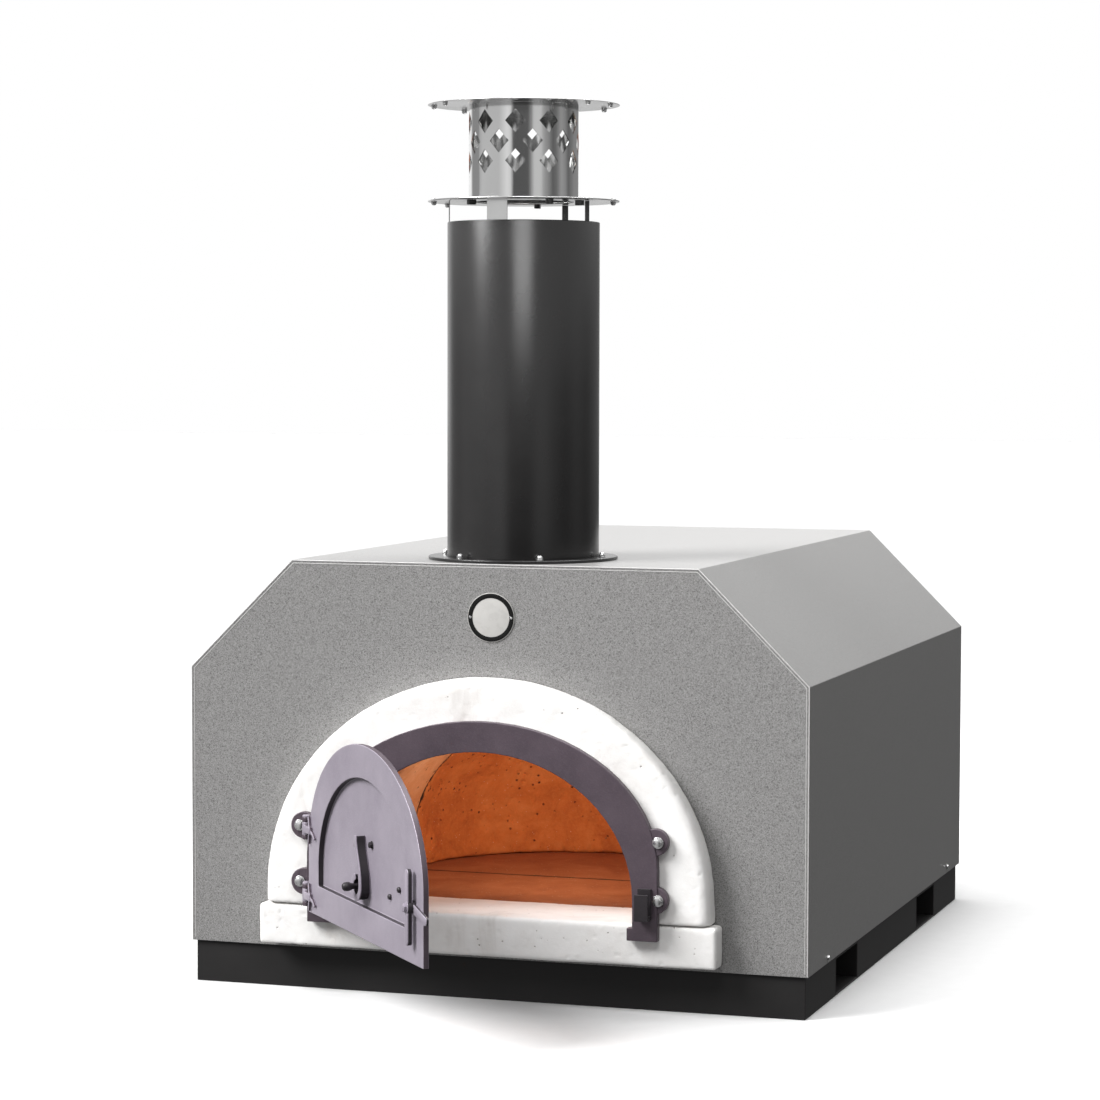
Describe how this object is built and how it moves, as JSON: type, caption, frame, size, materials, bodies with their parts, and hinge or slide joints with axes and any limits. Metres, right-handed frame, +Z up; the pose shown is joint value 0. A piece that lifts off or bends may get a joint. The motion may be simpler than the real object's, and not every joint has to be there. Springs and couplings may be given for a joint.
{
  "type": "wood fired pizza oven",
  "caption": "Wood fired oven: clay vault on a steel base under a chamfered grey hood, arched mouth with a hinged cast iron door and latch, black chimney with a cowl.",
  "frame": {"origin": "middle of the base's footprint, on the floor", "axes": "+Z up; the mouth and the door face -Y; +X to the right as seen from the front"},
  "size_m": [0.9052, 1.4866, 1.2417],
  "materials": {
    "black_steel": "matte black paint on folded steel",
    "grey_hood": "silver-grey hammered paint",
    "cast_white": "off-white cast refractory, slightly pitted",
    "clay": "unglazed fired clay",
    "insulation": "ceramic fibre",
    "iron_dark": "dark painted cast iron",
    "iron_light": "lighter purple-grey cast iron",
    "zinc": "bright zinc plate",
    "stainless": "polished stainless steel",
    "pipe_black": "satin black stove pipe",
    "badge": "printed metal disc"
  },
  "bodies": {
    "oven": {"base_frame": "black_steel", "fork_tunnel_front": "black_steel", "fork_tunnel_rear": "black_steel", "floor_insulation_board": "insulation", "hearth_front_slab": "clay", "hearth_rear_slab": "clay", "sill_slab": "cast_white", "vault_front": "clay", "vault_rear": "clay", "insulation_blanket_front": "insulation", "insulation_blanket_rear": "insulation", "insulation_block_rear": "insulation", "arch_surround": "cast_white", "door_frame": "iron_dark", "frame_bolt_left_lower": "zinc", "frame_bolt_left_upper": "zinc", "frame_bolt_right_lower": "zinc", "frame_bolt_right_upper": "zinc", "hinge_pin_lower": "iron_light", "hinge_pin_upper": "iron_light", "latch_keeper": "iron_dark", "hood_front_panel": "grey_hood", "hood_wrap": "grey_hood", "hood_rear_panel": "grey_hood", "hood_screw_left_front": "zinc", "hood_screw_left_rear": "zinc", "hood_screw_right_front": "zinc", "hood_screw_right_rear": "zinc", "badge_plate": "badge", "flue_liner": "stainless", "chimney_flange": "pipe_black", "chimney_pipe": "pipe_black", "flange_bolt_1": "zinc", "flange_bolt_2": "zinc", "flange_bolt_3": "zinc", "flange_bolt_4": "zinc", "flange_bolt_5": "zinc", "flange_bolt_6": "zinc", "cap_leg_1": "stainless", "cap_leg_2": "stainless", "cap_leg_3": "stainless", "cap_leg_4": "stainless", "cap_lower_plate": "stainless", "cap_basket": "stainless", "cap_top_plate": "stainless"},
    "door": {"door_plate": "iron_light", "hinge_strap_lower": "iron_light", "hinge_strap_upper": "iron_light", "door_handle": "iron_dark", "handle_bolt_left": "iron_dark", "handle_bolt_right": "iron_dark", "handle_knob": "iron_dark", "door_stud_left": "iron_light", "door_stud_right": "iron_light", "latch_pivot_bolt": "zinc"},
    "latch": {"latch_lever": "iron_light"}
  },
  "joints": [
    {"name": "door_hinge", "type": "hinge", "parent": "oven", "child": "door", "pos_m": [-0.2505, -0.5825, 0.19], "axis": [0, 0, 1], "range_deg": [-55.5, 49.5]},
    {"name": "latch_pivot", "type": "hinge", "parent": "door", "child": "latch", "pos_m": [0.03004, -0.92022, 0.195], "axis": [-0.7604, -0.6494, 0], "range_deg": [-25, 15]}
  ]
}
